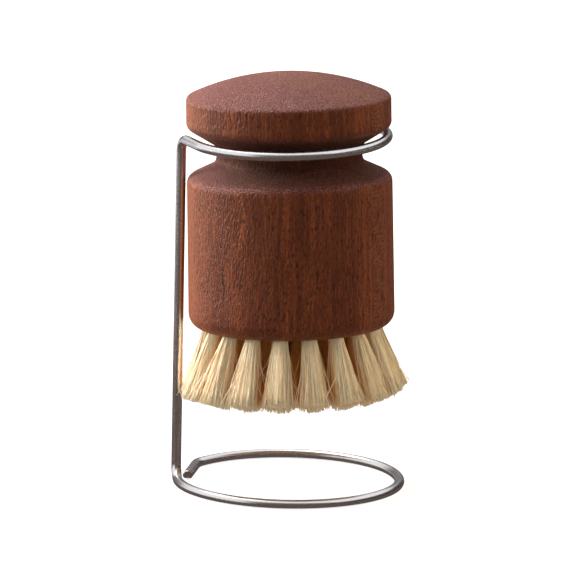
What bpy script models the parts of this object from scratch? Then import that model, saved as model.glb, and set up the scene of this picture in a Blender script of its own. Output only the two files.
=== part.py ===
"""Dish brush on a bent-wire stand.

A palm brush turned from one block of oiled hardwood hangs by the flared underside of its cap in the
open ring of a stand. The stand is one length of round stainless wire. The bristle face carries a
centre tuft and three rings of tufts. Each tuft is folded over a flat steel anchor at the bottom of
its own drilled hole. The brush leans back a little in the open ring. It comes out of its stand
backwards and upwards, through the open side of the ring.

Row frame: +Z up, -Y towards the closed front of the ring, -X towards the upright, origin on the
table under the middle of the whole. Lengths are in metres and angles in radians.
"""

import math

import bmesh
import bpy
from mathutils import Matrix, Vector

# Driving sizes of the stand
WIRE_DIAMETER = 0.0030
BASE_SETBACK = 0.0018
SEAT_HEIGHT = 0.1067
CRADLE_OFFSET = -0.0016
CRADLE_TILT = math.radians(1.8)
CRADLE_OPEN_FROM = math.radians(22.0)
SEAT_INSET = 0.0012
UPRIGHT_CLEARANCE = 0.0004
UPRIGHT_STANDOFF = 0.0010
FOOT_BEND = 0.0045
TOP_BEND = 0.0040
TUCK_BEND = 0.0080
TUCK_END = 0.0025
TUCK_GAP = 0.0004
TUCK_TURN = math.radians(9.0)
WIRE_CHAMFER = 0.0003

# Driving sizes of the turned body
BRUSH_LEAN = math.radians(2.6)
CAP_DIAMETER = 0.0615
DOME_RADIUS = 0.0722
DOME_TOP = 0.0190
CAP_TOP_ROUND = 0.0016
CAP_UNDER_ROUND = 0.0024
SEAT_SLOPE = math.radians(31.8)
NECK_DIAMETER = 0.0438
NECK_LENGTH = 0.0054
NECK_ROUND = 0.0030
SHOULDER_SLOPE = math.radians(25.2)
SHOULDER_ROUND = 0.0031
BODY_DIAMETER = 0.0616
BODY_FLARE = 0.00015
BODY_HEIGHT = 0.0457
FOOT_ROUND = 0.0046

# Driving sizes of the bristles
TUFT_WALL = 0.00295
TUFT_HOLE_DEPTH = 0.0085
TUFT_EDGE_DISTANCE = 0.0065
BRISTLE_LENGTH = 0.0220
TUFT_FAN = 0.00045
ROOT_RECESS = 0.0006
OUTER_SPLAY = math.radians(18.0)
TUFT_CLEARANCE = 0.0004
ANCHOR_THICKNESS = 0.0004
ANCHOR_HEIGHT = 0.0018
ANCHOR_BITE = 0.0005
ANCHOR_LIFT = 0.0012

# Fits
FIT_GAP = 0.0003
OVERRUN = 0.0010

# Counts
WIRE_SIDES = 12
BASE_STEPS = 44
CRADLE_STEPS = 25
BEND_STEPS = 6
TURN_STEPS = 48
DOME_STEPS = 6
ROUND_STEPS = 3
HOLE_SIDES = 10
ROOT_SIDES = 8
STRAND_SIDES = 3
TUFT_RINGS = (("centre", 1), ("inner", 6), ("middle", 12), ("outer", 18))
RING_TURNS = (0.0, math.radians(17.0), math.radians(9.0), math.radians(2.4))
STRAND_RINGS = (3, 6)
STRAND_RING_SHARES = (0.32, 0.74)
STRAND_SHARE = 0.24

# Sizes worked out from the driving ones
wire_radius = WIRE_DIAMETER / 2
wire_height = wire_radius * math.cos(math.pi / WIRE_SIDES)
cap_radius = CAP_DIAMETER / 2
neck_radius = NECK_DIAMETER / 2
body_radius = BODY_DIAMETER / 2
foot_radius = body_radius + BODY_FLARE
cradle_radius = cap_radius - SEAT_INSET

# The slope under the cap passes the wire's centre line at this distance where the ring is level
# with it. The lean lowers the slope behind, so the brush sits higher by what the ring's end needs.
seat_distance = wire_radius + FIT_GAP
seat_r = cradle_radius - seat_distance * math.sin(SEAT_SLOPE)
seat_z = seat_distance * math.cos(SEAT_SLOPE)
lean_rise = cradle_radius * math.sin(CRADLE_OPEN_FROM) * math.sin(BRUSH_LEAN)


def underside_z(r):
    """Height of the cap's flared underside at radius r, above the middle of the cradle ring."""
    return seat_z + (r - seat_r) * math.tan(SEAT_SLOPE)


neck_foot_z = underside_z(neck_radius) - NECK_LENGTH
shoulder_z = neck_foot_z - (body_radius - neck_radius) * math.tan(SHOULDER_SLOPE)
face_z = shoulder_z - BODY_HEIGHT

# The upright passes the tilted body closest at the shoulder, and stays outside the cradle ring.
shoulder_lean = (SHOULDER_ROUND - shoulder_z) * math.sin(CRADLE_TILT)
upright_reach = max(
    body_radius + wire_radius + UPRIGHT_CLEARANCE - shoulder_lean,
    cradle_radius + UPRIGHT_STANDOFF,
)
upright_x = CRADLE_OFFSET - upright_reach

# The base ring turns up into the upright, so its radius follows from where the upright stands.
base_radius = math.sqrt(upright_x**2 - FOOT_BEND**2)
foot_turn = math.atan2(FOOT_BEND, base_radius)

# The tuft rings are evenly spaced from the middle of the face to the outer ring. A hole leaves this
# much wood before the next ring, and a tuft fans out to a little more than the space between rings.
outer_ring = len(TUFT_RINGS) - 1
outer_tuft_radius = foot_radius - TUFT_EDGE_DISTANCE
ring_pitch = outer_tuft_radius / outer_ring
hole_radius = (ring_pitch - TUFT_WALL) / 2
root_radius = hole_radius - FIT_GAP
tip_radius = (ring_pitch + TUFT_FAN) / 2

# No tip may reach further towards the upright than this, measured from the brush's own axis.
tip_depth = BRISTLE_LENGTH - face_z
tip_room = CRADLE_OFFSET + tip_depth * math.sin(CRADLE_TILT) - upright_x - wire_radius - TUFT_CLEARANCE


def arc(centre, radius, start, end, steps):
    """Points on a level arc about centre, from angle start to angle end, both ends included."""
    angles = [start + (end - start) * i / steps for i in range(steps + 1)]
    return [centre + radius * Vector((math.cos(a), math.sin(a), 0)) for a in angles]


def rounded_corner(before, corner, after, radius, steps):
    """Points on the fillet arc of this radius, tangent to both lines that meet at corner."""
    back = (before - corner).normalized()
    ahead = (after - corner).normalized()
    half = back.angle(ahead) / 2
    middle = (back + ahead).normalized()
    centre = corner + middle * radius / math.sin(half)
    first = corner + back * radius / math.tan(half) - centre
    axis = first.cross(-middle)
    sweep = math.pi - 2 * half
    return [centre + Matrix.Rotation(sweep * i / steps, 3, axis) @ first for i in range(steps + 1)]


def cradle_frame():
    """Middle of the cradle ring, tilted so that its free side stands higher than its upright side."""
    place = Matrix.Translation((CRADLE_OFFSET, 0, SEAT_HEIGHT))
    return place @ Matrix.Rotation(-CRADLE_TILT, 4, "Y")


def brush_frame():
    """Where the turned body stands: risen and leaning back in the cradle ring."""
    return cradle_frame() @ Matrix.Translation((0, 0, lean_rise)) @ Matrix.Rotation(-BRUSH_LEAN, 4, "X")


def wire_path():
    """Centre line of the wire, from its end tucked in beside the foot to its end on the open ring."""
    level = Vector((0, 0, wire_height))

    # The tucked end runs back from beside the foot, turned a little away from it, until the bend
    # about swing joins it to the base ring.
    cut = Vector((upright_x + WIRE_DIAMETER + TUCK_GAP, TUCK_END, 0))
    tail = Vector((math.sin(TUCK_TURN), math.cos(TUCK_TURN), 0))
    beside = cut + TUCK_BEND * Vector((math.cos(TUCK_TURN), -math.sin(TUCK_TURN), 0))
    along = beside.dot(tail)
    run = math.sqrt(along**2 + (base_radius - TUCK_BEND) ** 2 - beside.length_squared) - along
    swing = beside + run * tail
    join = math.atan2(swing.y, swing.x)
    path = [cut + level]
    path += arc(swing + level, TUCK_BEND, math.pi - TUCK_TURN, join, BEND_STEPS // 2)

    # The base ring runs clockwise round the back, the right and the front to the foot of the upright.
    path += arc(level, base_radius, join, foot_turn - math.pi, BASE_STEPS)[1:]

    # The upright climbs to the cradle's plane, turns over and leads off tangent to the cradle ring.
    cradle = cradle_frame()
    start = cradle.inverted() @ Vector((upright_x, 0, SEAT_HEIGHT))
    start.x /= math.cos(CRADLE_TILT) ** 2
    start.z = 0
    touch = math.pi + math.acos(cradle_radius / start.length)
    foot = Vector((upright_x, 0, wire_height))
    top = cradle @ start
    ring = arc(Vector(), cradle_radius, touch, math.tau + CRADLE_OPEN_FROM, CRADLE_STEPS)
    ring = [cradle @ p for p in ring]
    path += rounded_corner(path[-1], foot, top, FOOT_BEND, BEND_STEPS)[1:]
    path += rounded_corner(foot, top, ring[0], TOP_BEND, BEND_STEPS)
    return path + ring


def swept_wire(name, path):
    """A mesh tube along path with a flat underneath, and both cut ends chamfered."""
    tangents = [(b - a).normalized() for a, b in zip(path, path[1:])]
    start = path[0] + tangents[0] * WIRE_CHAMFER
    end = path[-1] - tangents[-1] * WIRE_CHAMFER
    centres = [path[0], start, *path[1:-1], end, path[-1]]
    tangents = [tangents[0], tangents[0]] + [
        (a + b).normalized() for a, b in zip(tangents, tangents[1:])
    ] + [tangents[-1], tangents[-1]]
    narrow = wire_radius - WIRE_CHAMFER
    radii = [narrow] + [wire_radius] * (len(centres) - 2) + [narrow]

    bm = bmesh.new()
    up = Vector((0, 0, 1))
    rings = []
    for centre, tangent, radius in zip(centres, tangents, radii):
        up = (up - tangent * up.dot(tangent)).normalized()
        side = tangent.cross(up)
        ring = []
        for i in range(WIRE_SIDES):
            turn = math.tau * (i + 0.5) / WIRE_SIDES
            ring.append(bm.verts.new(centre + radius * (math.cos(turn) * up + math.sin(turn) * side)))
        rings.append(ring)
    for one, two in zip(rings, rings[1:]):
        for i in range(WIRE_SIDES):
            j = (i + 1) % WIRE_SIDES
            bm.faces.new((one[i], one[j], two[j], two[i]))
    bm.faces.new(rings[0])
    bm.faces.new(rings[-1])
    return finished_mesh(name, bm)


def spoke(angle):
    """Unit vector in the X-Z plane, turned from +Z towards +X by angle."""
    return Vector((math.sin(angle), 0, math.cos(angle)))


def turned_profile():
    """Outline of the turned body, in the X-Z plane, from the top of its dome to the middle of its face."""
    dome_z = DOME_TOP - DOME_RADIUS
    edge_r = cap_radius - CAP_TOP_ROUND
    edge_z = dome_z + math.sqrt((DOME_RADIUS - CAP_TOP_ROUND) ** 2 - edge_r**2)
    meet = math.atan2(edge_r, edge_z - dome_z)
    crown = [meet * i / DOME_STEPS for i in range(DOME_STEPS + 1)]
    turns = [meet + (math.pi / 2 - meet) * i / ROUND_STEPS for i in range(1, ROUND_STEPS + 1)]
    dome = [DOME_RADIUS * spoke(a) + Vector((0, 0, dome_z)) for a in crown]
    edge = [CAP_TOP_ROUND * spoke(a) + Vector((edge_r, 0, edge_z)) for a in turns]

    corners = (
        (Vector((cap_radius, 0, underside_z(cap_radius))), CAP_UNDER_ROUND),
        (Vector((neck_radius, 0, underside_z(neck_radius))), NECK_ROUND),
        (Vector((neck_radius, 0, neck_foot_z)), NECK_ROUND),
        (Vector((body_radius, 0, shoulder_z)), SHOULDER_ROUND),
        (Vector((foot_radius, 0, face_z)), FOOT_ROUND),
    )
    middle = Vector((0, 0, face_z))
    places = [edge[-1]] + [corner for corner, _ in corners] + [middle]
    outline = dome + edge
    for before, (corner, radius), after in zip(places, corners, places[2:]):
        outline += rounded_corner(before, corner, after, radius, ROUND_STEPS)
    return outline + [middle]


def tuft_places():
    """Name and place of every tuft. In its own frame a tuft's bristles run along -Z."""
    places = []
    for ring, ((ring_name, count), turn) in enumerate(zip(TUFT_RINGS, RING_TURNS)):
        mouth = Matrix.Translation((ring * ring_pitch, 0, face_z))
        for i in range(count):
            name = f"tuft_{ring_name}" if count == 1 else f"tuft_{ring_name}_{i + 1:02d}"
            angle = turn + math.tau * i / count
            around = Matrix.Rotation(angle, 4, "Z")
            places.append((name, around @ mouth @ Matrix.Rotation(-tuft_lean(ring, angle), 4, "Y")))
    return places


def tuft_lean(ring, angle):
    """How far a tuft leans outwards. The upright holds in the ones that would cross its line."""
    splay = OUTER_SPLAY * (ring / outer_ring) ** 2
    toward_upright = -math.cos(angle)
    tip_reach = ring * ring_pitch + BRISTLE_LENGTH * math.sin(splay)
    if tip_reach * toward_upright + tip_radius <= tip_room:
        return splay
    held_reach = (tip_room - tip_radius) / toward_upright
    return math.asin((held_reach - ring * ring_pitch) / BRISTLE_LENGTH)


def cylinder(bm, radius, low, high, sides, place):
    """Adds a closed cylinder about the Z axis of place, from height low to height high."""
    middle = Matrix.Translation((0, 0, (low + high) / 2))
    bmesh.ops.create_cone(
        bm,
        cap_ends=True,
        segments=sides,
        radius1=radius,
        radius2=radius,
        depth=high - low,
        matrix=place @ middle,
    )


def block(bm, size, height, place):
    """Adds a block of this size, centred at this height on the Z axis of place."""
    middle = Matrix.Translation((0, 0, height))
    bmesh.ops.create_cube(bm, size=1, matrix=place @ middle @ Matrix.Diagonal((*size, 1)))


def anchor_length():
    return 2 * (hole_radius + ANCHOR_BITE)


def anchor_z():
    """Height of an anchor's middle in its tuft's frame, near the bottom of the hole."""
    return TUFT_HOLE_DEPTH - ANCHOR_LIFT - ANCHOR_HEIGHT / 2


def hole_cutters():
    """The drilled tuft holes, all in one mesh."""
    bm = bmesh.new()
    for _, place in tuft_places():
        cylinder(bm, hole_radius, -OVERRUN, TUFT_HOLE_DEPTH, HOLE_SIDES, place)
    return finished_mesh("hole_cutters", bm)


def slot_cutters():
    """The slits that the ends of the anchors bite into the walls of the holes."""
    bm = bmesh.new()
    size = (ANCHOR_THICKNESS + 2 * FIT_GAP, anchor_length() + 2 * FIT_GAP, ANCHOR_HEIGHT + 2 * FIT_GAP)
    for _, place in tuft_places():
        block(bm, size, anchor_z(), place)
    return finished_mesh("slot_cutters", bm)


def root_mesh():
    """The packed root of a tuft: its fibres folded tight in the drilled hole."""
    bm = bmesh.new()
    cylinder(bm, root_radius, ROOT_RECESS, TUFT_HOLE_DEPTH - FIT_GAP, ROOT_SIDES, Matrix())
    return finished_mesh("root", bm)


def anchor_mesh():
    """The flat steel anchor across the fold of a tuft."""
    bm = bmesh.new()
    block(bm, (ANCHOR_THICKNESS, anchor_length(), ANCHOR_HEIGHT), anchor_z(), Matrix())
    return finished_mesh("anchor", bm)


def strand_mesh():
    """The strands of a tuft. They fan out from the root without crossing and are cut off square."""
    spread = tip_radius / root_radius
    top = Vector((0, 0, ROOT_RECESS + FIT_GAP))
    bottom = Vector((0, 0, -BRISTLE_LENGTH))
    bm = bmesh.new()
    for count, circle_share in zip(STRAND_RINGS, STRAND_RING_SHARES):
        for i in range(count):
            around = math.tau * i / count
            centre = circle_share * root_radius * Vector((math.cos(around), math.sin(around), 0))
            turns = [around + math.tau * j / STRAND_SIDES for j in range(STRAND_SIDES)]
            corners = [
                centre + STRAND_SHARE * root_radius * Vector((math.cos(a), math.sin(a), 0)) for a in turns
            ]
            roots = [bm.verts.new(corner + top) for corner in corners]
            tips = [bm.verts.new(corner * spread + bottom) for corner in corners]
            bm.faces.new(roots)
            bm.faces.new(tips)
            for j in range(STRAND_SIDES):
                k = (j + 1) % STRAND_SIDES
                bm.faces.new((roots[j], tips[j], tips[k], roots[k]))
    return finished_mesh("strands", bm)


def finished_mesh(name, bm):
    """The bmesh as a mesh whose faces point outwards."""
    bmesh.ops.recalc_face_normals(bm, faces=bm.faces)
    mesh = bpy.data.meshes.new(name)
    bm.to_mesh(mesh)
    bm.free()
    return mesh


def united(name, meshes):
    """One mesh that is the union of these, worked out by Boolean modifiers on throwaway objects."""
    helpers = [add_object(f"{name}_{i}", mesh) for i, mesh in enumerate(meshes)]
    for helper in helpers[1:]:
        boolean(helpers[0], helper, "UNION")
    graph = bpy.context.evaluated_depsgraph_get()
    mesh = bpy.data.meshes.new_from_object(helpers[0].evaluated_get(graph))
    mesh.name = name
    for helper in helpers:
        bpy.data.objects.remove(helper)
    return mesh


def boolean(target, tool, operation):
    """Adds a Boolean with this tool to target, and keeps the tool out of the model."""
    tool.hide_render = True
    tool.display_type = "WIRE"
    modifier = target.modifiers.new(tool.name, "BOOLEAN")
    modifier.operation = operation
    modifier.object = tool
    return modifier


def make_material(name, colour, roughness, metallic):
    """A plain Principled material."""
    made = bpy.data.materials.new(name)
    made.use_nodes = True
    shader = made.node_tree.nodes["Principled BSDF"]
    shader.inputs["Base Color"].default_value = (*colour, 1)
    shader.inputs["Roughness"].default_value = roughness
    shader.inputs["Metallic"].default_value = metallic
    made.diffuse_color = (*colour, 1)
    return made


def add_object(name, mesh, parent=None, material=None):
    """Links a mesh as an object of this name."""
    obj = bpy.data.objects.new(name, mesh)
    bpy.context.scene.collection.objects.link(obj)
    obj.parent = parent
    if material and not mesh.materials:
        mesh.materials.append(material)
    return obj


def add_empty(name, place, parent=None):
    """Links an empty that pieces are placed by."""
    empty = bpy.data.objects.new(name, None)
    bpy.context.scene.collection.objects.link(empty)
    empty.parent = parent
    empty.matrix_local = place
    return empty


def make_stand(base, steel):
    """The stand: base ring, upright and open cradle ring in one bent wire."""
    mesh = swept_wire("wire_stand", wire_path())
    stand = add_object("wire_stand", mesh, base, steel)
    mesh.shade_smooth()
    mesh.set_sharp_from_angle(angle=math.radians(40))
    return stand


def make_body(seat, wood):
    """The turned body: cap, neck and barrel in one block, drilled for its tufts."""
    outline = turned_profile()
    mesh = bpy.data.meshes.new("wooden_body")
    mesh.from_pydata(outline, [(i, i + 1) for i in range(len(outline) - 1)], [])
    body = add_object("wooden_body", mesh, seat, wood)
    screw = body.modifiers.new("turning", "SCREW")
    screw.steps = TURN_STEPS
    screw.render_steps = TURN_STEPS
    screw.use_merge_vertices = True
    screw.merge_threshold = 0.00001
    boolean(body, add_object("tuft_holes", hole_cutters(), seat), "DIFFERENCE")
    boolean(body, add_object("anchor_slits", slot_cutters(), seat), "DIFFERENCE")
    return body


def make_tufts(seat, fibre):
    """The tufts. They are all alike, so they share one mesh."""
    mesh = united("tuft", [root_mesh(), strand_mesh(), anchor_mesh()])
    for name, place in tuft_places():
        tuft = add_object(name, mesh, seat, fibre)
        tuft.matrix_local = place


def main():
    for obj in list(bpy.data.objects):
        bpy.data.objects.remove(obj)
    steel = make_material("stainless_steel", (0.62, 0.60, 0.58), 0.3, 1.0)
    wood = make_material("oiled_hardwood", (0.23, 0.085, 0.045), 0.55, 0.0)
    fibre = make_material("plant_fibre", (0.78, 0.62, 0.38), 0.6, 0.0)
    base = add_empty("base_centre", Matrix.Translation((0, BASE_SETBACK, 0)))
    seat = add_empty("brush_seat", brush_frame(), base)
    make_stand(base, steel)
    make_body(seat, wood)
    make_tufts(seat, fibre)


main()
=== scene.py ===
"""Dish brush on a bent-wire stand.

A palm brush, turned from one block of oiled hardwood and filled with plant fibre, hangs by its cap
in the open ring of a stand bent from one length of stainless wire.

Row frame: +Z up, -Y towards the closed front of the cradle ring, -X towards the upright, origin on
the table. Lengths are in metres and angles in radians, unless a comment says otherwise.
"""

import math

import bpy
import numpy as np
from mathutils import Matrix, Vector


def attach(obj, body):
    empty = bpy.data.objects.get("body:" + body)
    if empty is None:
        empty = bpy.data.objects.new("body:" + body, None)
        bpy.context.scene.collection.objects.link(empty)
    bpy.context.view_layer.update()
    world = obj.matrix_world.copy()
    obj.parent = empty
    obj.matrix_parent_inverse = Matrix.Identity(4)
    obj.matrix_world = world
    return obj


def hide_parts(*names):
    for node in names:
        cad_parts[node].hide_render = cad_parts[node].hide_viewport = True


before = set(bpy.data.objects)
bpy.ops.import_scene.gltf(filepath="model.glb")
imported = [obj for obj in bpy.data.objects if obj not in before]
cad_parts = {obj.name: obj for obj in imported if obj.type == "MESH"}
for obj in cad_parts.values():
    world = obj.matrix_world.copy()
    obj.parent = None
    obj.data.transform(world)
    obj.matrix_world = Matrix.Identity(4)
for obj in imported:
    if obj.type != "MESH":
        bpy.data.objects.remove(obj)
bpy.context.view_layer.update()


# The camera stands 3.5 m in front of the brush, looks down at it by 12 degrees and is rolled by one
# degree. AIM is the point of the object that it looks at, and AIM_OFFSET moves the frame across and up.
AIM = Vector((0, 0.0018, 0.062))
CAMERA_DISTANCE = 3.5
CAMERA_ELEVATION = 0.2155
CAMERA_ROLL = 0.0181
AIM_OFFSET = (0.001155, 0.00159)
FOCAL_LENGTH_MM = 729.1
SENSOR_WIDTH_MM = 36

level = Vector((1, 0, 0))
raised = Vector((0, math.sin(CAMERA_ELEVATION), math.cos(CAMERA_ELEVATION)))
camera_x = math.cos(CAMERA_ROLL) * level + math.sin(CAMERA_ROLL) * raised
camera_y = math.cos(CAMERA_ROLL) * raised - math.sin(CAMERA_ROLL) * level
camera_z = camera_x.cross(camera_y)
camera_turn = Matrix((camera_x, camera_y, camera_z)).transposed().to_4x4()
camera_place = AIM + CAMERA_DISTANCE * camera_z - AIM_OFFSET[0] * camera_x - AIM_OFFSET[1] * camera_y

camera = bpy.data.objects.new("camera", bpy.data.cameras.new("camera"))
camera.data.sensor_width = SENSOR_WIDTH_MM
camera.data.lens = FOCAL_LENGTH_MM
camera.matrix_world = Matrix.Translation(camera_place) @ camera_turn
bpy.context.scene.collection.objects.link(camera)
bpy.context.scene.camera = camera


# The stand is one length of 3 mm stainless wire, left with the satin finish of its drawing die. It is
# bent into the base ring, the upright and the open cradle ring, and one cut end is tucked in beside
# the upright's foot.
WIRE_RADIUS = 0.00149
WIRE_HEIGHT = 0.0015
BASE_RADIUS = 0.03344
BASE_SETBACK = 0.0018
UPRIGHT_X = -0.033816
FOOT_BEND = 0.0045
TOP_BEND = 0.0040
TUCK_PLACE = (-0.030419, 0.0025)
TUCK_TURN = math.radians(9.0)
TUCK_BEND = 0.0080
CRADLE_RADIUS = 0.02955
CRADLE_PLACE = (-0.0016, 0, 0.1067)
CRADLE_TILT = math.radians(1.8)
CRADLE_OPEN_FROM = math.radians(22.0)
CUT_CHAMFER = 0.0003
WIRE_SIDES = 36
STEEL_COLOUR = (0.80, 0.780, 0.795, 1)
STEEL_ROUGHNESS = (0.23, 0.29)
DIE_LINES = (9.0, 9.0, 30.0)
DULL_PATCHES = (0.8, 0.8, 90.0)
SHARP_ANGLE = math.radians(35)


def unit(vectors):
    """Each vector divided by its own length."""
    return vectors / np.linalg.norm(vectors, axis=-1, keepdims=True)


def placed(points, place):
    """Points moved by a 4 by 4 matrix: turned by its first three columns, then shifted by its last."""
    matrix = np.array(place)
    return points @ matrix[:3, :3].T + matrix[:3, 3]


def arc(centre, radius, start, end, steps):
    """Points on a level circle, evenly spaced between two angles: centre + radius (cos a, sin a, 0)."""
    a = np.linspace(start, end, steps + 1)[:, None]
    return np.array(centre) + radius * np.hstack([np.cos(a), np.sin(a), 0 * a])


def bend(before, corner, after, radius, steps):
    """The arc of this radius that touches both lines that meet at corner.

    With half the angle between the lines h, the arc's centre lies radius / sin h from the corner, on
    the line that halves it, and the arc starts radius / tan h from the corner. A point on it is
    centre + spoke cos a + travel sin a, where a runs from nothing to a half turn less twice h.
    """
    back, ahead = unit(before - corner), unit(after - corner)
    half = math.acos(back @ ahead) / 2
    centre = corner + unit(back + ahead) * radius / math.sin(half)
    spoke = corner + back * radius / math.tan(half) - centre
    a = np.linspace(0, math.pi - 2 * half, steps + 1)[:, None]
    return centre + spoke * np.cos(a) - back * radius * np.sin(a)


def wire_path():
    """The wire's centre line, from the tucked end round the base, up the upright and round the cradle.

    A bend joins the tucked end to the base ring. Its centre, swing, is TUCK_BEND off the end's line
    and TUCK_BEND inside the ring, and run is the length of the end up to the bend.
    """
    tail = np.array((math.sin(TUCK_TURN), math.cos(TUCK_TURN), 0))
    inward = np.array((math.cos(TUCK_TURN), -math.sin(TUCK_TURN), 0))
    cut = np.array((*TUCK_PLACE, 0))
    beside = cut + TUCK_BEND * inward
    run = math.sqrt((beside @ tail) ** 2 + (BASE_RADIUS - TUCK_BEND) ** 2 - beside @ beside)
    run -= beside @ tail
    swing = beside + run * tail + (0, 0, WIRE_HEIGHT)
    join = math.atan2(swing[1], swing[0])
    tuck = arc(swing, TUCK_BEND, math.pi - TUCK_TURN, join, 16)
    straight = np.linspace(cut + (0, 0, WIRE_HEIGHT), tuck[0], 12)[:-1]
    foot_turn = math.atan2(FOOT_BEND, BASE_RADIUS)
    base = arc((0, 0, WIRE_HEIGHT), BASE_RADIUS, join, foot_turn - math.pi, 220)[1:]

    cradle = Matrix.Translation(CRADLE_PLACE) @ Matrix.Rotation(-CRADLE_TILT, 4, "Y")
    start = cradle.inverted() @ Vector((UPRIGHT_X, 0, CRADLE_PLACE[2]))
    start.x /= math.cos(CRADLE_TILT) ** 2
    start.z = 0
    touch = math.pi + math.acos(CRADLE_RADIUS / start.length)
    ring = placed(arc((0, 0, 0), CRADLE_RADIUS, touch, math.tau + CRADLE_OPEN_FROM, 160), cradle)
    foot = np.array((UPRIGHT_X, 0, WIRE_HEIGHT))
    top = np.array(cradle @ start)
    rising = bend(base[-1], foot, top, FOOT_BEND, 20)[1:]
    turning = bend(foot, top, ring[0], TOP_BEND, 20)
    upright = np.linspace(rising[-1], turning[0], 30)[1:-1]
    lead = np.linspace(turning[-1], ring[0], 4)[1:-1]
    path = np.vstack([straight, tuck, base, rising, upright, turning, lead, ring])
    return path + (0, BASE_SETBACK, 0)


def tube(path, radii, sides):
    """Rings of points round a path: path + radius (across cos a + over sin a).

    Across is square to the path and to one leaning direction that the path never follows, and over
    is square to both. The ring's points run anticlockwise seen from ahead.
    """
    along = unit(np.gradient(path, axis=0))
    across = unit(np.cross((-1, 0, 1), along))
    over = np.cross(along, across)
    a = np.arange(sides)[:, None] * math.tau / sides
    spokes = across[:, None] * np.cos(a) + over[:, None] * np.sin(a)
    return path[:, None] + radii[:, None, None] * spokes


def with_cut_ends(path):
    """The path with a point added just inside each end, and the radius at each point of it."""
    starts, ends = unit(path[1] - path[0]) * CUT_CHAMFER, unit(path[-1] - path[-2]) * CUT_CHAMFER
    path = np.vstack([path[:1], path[:1] + starts, path[1:-1], path[-1:] - ends, path[-1:]])
    radii = np.full(len(path), WIRE_RADIUS)
    radii[[0, -1]] -= CUT_CHAMFER
    return path, radii


def quads_between(rings, sides):
    """Corners of the quads that join each ring of points to the next one, as an array of indices."""
    here = np.arange(rings * sides).reshape(rings, sides)
    beside = np.roll(here, -1, axis=1)
    return np.stack([here[:-1], beside[:-1], beside[1:], here[1:]], axis=-1).reshape(-1, 4)


def skin(rings):
    """Points and faces of a closed skin over rings of points, with a fan to the middle of each end."""
    count, sides = rings.shape[:2]
    points = np.vstack([rings.reshape(-1, 3), rings[:1].mean(axis=1), rings[-1:].mean(axis=1)])
    first = np.arange(sides)
    last = first + (count - 1) * sides
    middle = np.full(sides, count * sides)
    near = np.stack([np.roll(first, -1), first, middle], axis=-1)
    far = np.stack([last, np.roll(last, -1), middle + 1], axis=-1)
    return points, [*quads_between(count, sides).tolist(), *near.tolist(), *far.tolist()]


def add_piece(name, points, faces, material, body, nodes, sharp_angle=SHARP_ANGLE):
    """A smooth-shaded piece from points and faces. It rides on a body and stands for these nodes."""
    mesh = bpy.data.meshes.new(name)
    mesh.from_pydata(points.tolist(), [], faces)
    mesh.materials.append(material)
    mesh.shade_smooth()
    mesh.set_sharp_from_angle(angle=sharp_angle)
    piece = bpy.data.objects.new(name, mesh)
    bpy.context.scene.collection.objects.link(piece)
    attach(piece, body)
    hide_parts(*nodes)
    return piece


def add_attribute(piece, name, kind, values):
    """Stores one number or vector for each point of a piece, for its material to read."""
    field = "vector" if kind == "FLOAT_VECTOR" else "value"
    made = piece.data.attributes.new(name, kind, "POINT")
    made.data.foreach_set(field, values.astype(np.float32).ravel())


def new_material(name, settings):
    """A Principled material whose sockets have these settings, with its node tree and its shader."""
    made = bpy.data.materials.new(name)
    made.use_nodes = True
    shader = made.node_tree.nodes["Principled BSDF"]
    for key, value in settings.items():
        shader.inputs[key].default_value = value
    return made, made.node_tree, shader


def node(tree, kind, inputs, **settings):
    """Adds a shader node. An input that is given as a socket is linked, and any other is set."""
    made = tree.nodes.new("ShaderNode" + kind)
    for key, value in settings.items():
        setattr(made, key, value)
    for key, value in inputs.items():
        if isinstance(value, bpy.types.NodeSocket):
            tree.links.new(value, made.inputs[key])
        else:
            made.inputs[key].default_value = value
    return made


def noise(tree, vector, scale, detail=2.0, distortion=0.0):
    """Noise whose cells are 1 / scale long in x, y and z. It comes out as a value about one half."""
    stretched = node(tree, "VectorMath", {0: vector, 1: scale}, operation="MULTIPLY").outputs[0]
    inputs = {"Vector": stretched, "Scale": 1.0, "Detail": detail, "Distortion": distortion}
    return node(tree, "TexNoise", inputs).outputs[0]


def spread(tree, value, low, high, to_low=0.0, to_high=1.0):
    """Maps the stretch from low to high onto another one, smoothly, and holds what lies outside it."""
    inputs = {0: value, 1: low, 2: high, 3: to_low, 4: to_high}
    return node(tree, "MapRange", inputs, interpolation_type="SMOOTHSTEP").outputs[0]


def drawn_steel():
    """Satin stainless steel. The drawing die leaves fine lines that run along the wire.

    The attribute holds the cosine and sine of the place round the wire, and metres along it. Duller
    patches, about a centimetre long, lie between brighter ones.
    """
    settings = {"Base Color": STEEL_COLOUR, "Metallic": 1.0}
    material, tree, shader = new_material("satin_stainless_steel", settings)
    round_and_along = node(tree, "Attribute", {}, attribute_name="round_and_along").outputs["Vector"]
    lines = noise(tree, round_and_along, DIE_LINES, 3.0)
    patches = noise(tree, round_and_along, DULL_PATCHES, 3.0)
    tree.links.new(spread(tree, patches, 0.3, 0.7, *STEEL_ROUGHNESS), shader.inputs["Roughness"])
    bump = node(tree, "Bump", {"Strength": 0.12, "Distance": 0.00002, "Height": lines})
    tree.links.new(bump.outputs[0], shader.inputs["Normal"])
    return material


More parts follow.
